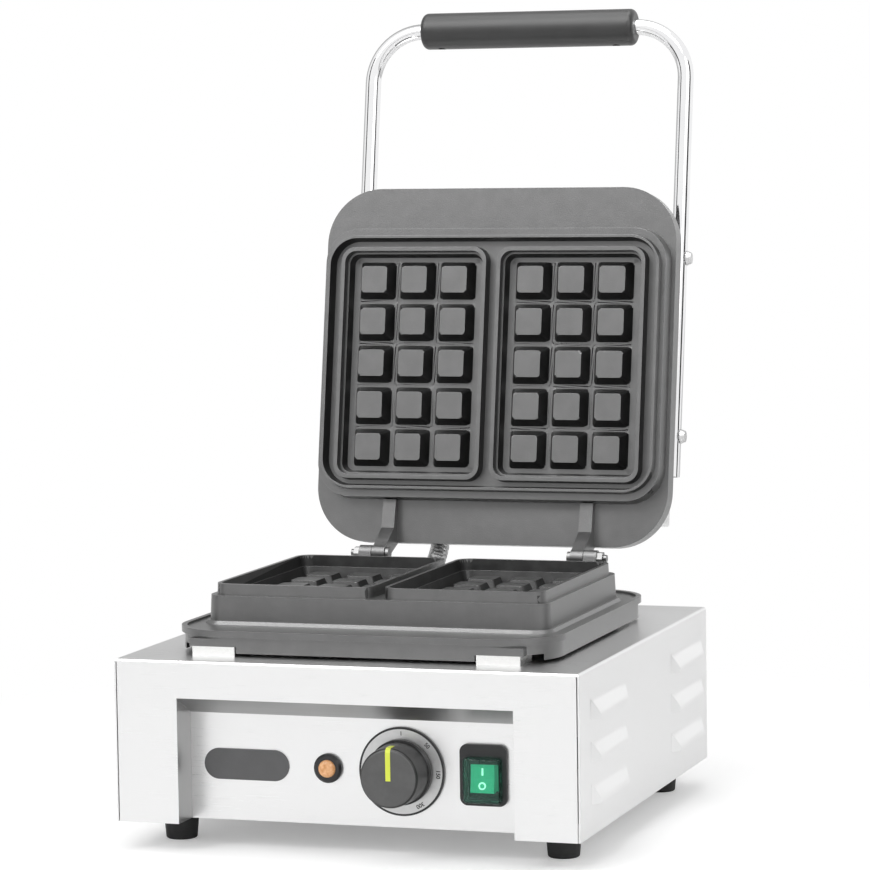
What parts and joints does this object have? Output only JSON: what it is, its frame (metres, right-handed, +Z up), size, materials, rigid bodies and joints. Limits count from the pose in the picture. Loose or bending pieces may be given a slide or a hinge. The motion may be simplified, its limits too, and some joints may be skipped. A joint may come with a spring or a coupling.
{
  "type": "waffle maker",
  "caption": "Counter-top waffle maker: steel casing with thermostat knob, lamp and rocker switch, cast block plates, hinged lid with bent tube handle, shown open",
  "frame": {"origin": "Bottom centre of the whole object's box with the lid open, on the table plane", "axes": "X to the right as seen from the front, Y from the front panel to the back, Z up"},
  "size_m": [0.314, 0.4355, 0.5335],
  "materials": {
    "stainless": "fine brushed stainless sheet",
    "foot_rubber": "matt black rubber",
    "zinc_screw": "bright plated steel",
    "black_trim": "smooth black plastic",
    "bezel_chrome": "dark lamp holder",
    "amber_lens": "clear amber lens",
    "dial_grey": "satin grey dial ring",
    "copper_tube": "drawn copper",
    "knob_black": "satin dark grey moulding",
    "pointer_yellow": "yellow green insert",
    "boot_green": "clear green splash boot",
    "rocker_green": "green rocker",
    "mark_pale": "pale raised marks",
    "cast_plate": "dark grey baked release coat on cast metal",
    "element_steel": "annealed sheath",
    "conduit_steel": "wound strip steel",
    "insulation": "mineral wool pad",
    "handle_chrome": "polished chrome plate",
    "grip_black": "black moulded grip with a soft sheen"
  },
  "bodies": {
    "base": {"casing_shell": "stainless", "base_plate": "stainless", "rear_panel": "stainless", "control_panel": "stainless", "foot_front_left": "foot_rubber", "foot_front_right": "foot_rubber", "foot_rear_left": "foot_rubber", "foot_rear_right": "foot_rubber", "foot_screws": "zinc_screw", "badge_plate": "black_trim", "lamp_bezel": "bezel_chrome", "lamp_lens": "amber_lens", "lamp_nut": "black_trim", "dial_ring": "dial_grey", "thermostat_body": "zinc_screw", "thermostat_bulb": "copper_tube", "switch_frame": "black_trim", "switch_boot": "boot_green", "rocker_pin": "zinc_screw", "lower_plate": "cast_plate", "plate_bracket_front_left": "stainless", "plate_bracket_front_right": "stainless", "plate_bracket_rear_left": "stainless", "plate_bracket_rear_right": "stainless", "plate_screws": "zinc_screw", "lower_element": "element_steel", "lower_element_clamp": "stainless", "heat_shield": "stainless", "terminal_block": "black_trim", "cable_gland": "black_trim", "gland_nut": "black_trim", "hinge_pin_left": "zinc_screw", "hinge_pin_right": "zinc_screw", "hinge_nut_left": "zinc_screw", "hinge_nut_right": "zinc_screw", "conduit": "conduit_steel", "conduit_bushing": "black_trim"},
    "lid": {"upper_plate": "cast_plate", "upper_cover": "stainless", "upper_element": "element_steel", "upper_element_clamp": "stainless", "lid_insulation": "insulation", "handle_tube": "handle_chrome", "handle_grip": "grip_black", "handle_bolts": "zinc_screw"},
    "knob_set": {"knob": "knob_black", "knob_pointer": "pointer_yellow", "thermostat_spindle": "zinc_screw"},
    "rocker_set": {"rocker": "rocker_green", "rocker_marks": "mark_pale"}
  },
  "joints": [
    {"name": "lid_hinge", "type": "hinge", "parent": "base", "child": "lid", "pos_m": [0, 0.06745, 0.158], "axis": [1, 0, 0], "range_deg": [0, 99.86], "deforming": ["conduit"]},
    {"name": "knob_turn", "type": "hinge", "parent": "base", "child": "knob_set", "pos_m": [0.031, -0.2, 0.0537], "axis": [0, 1, 0], "range_deg": [0, 300]},
    {"name": "rocker_tilt", "type": "hinge", "parent": "base", "child": "rocker_set", "pos_m": [0.0845, -0.1835, 0.0507], "axis": [1, 0, 0], "range_deg": [0, 12]}
  ]
}
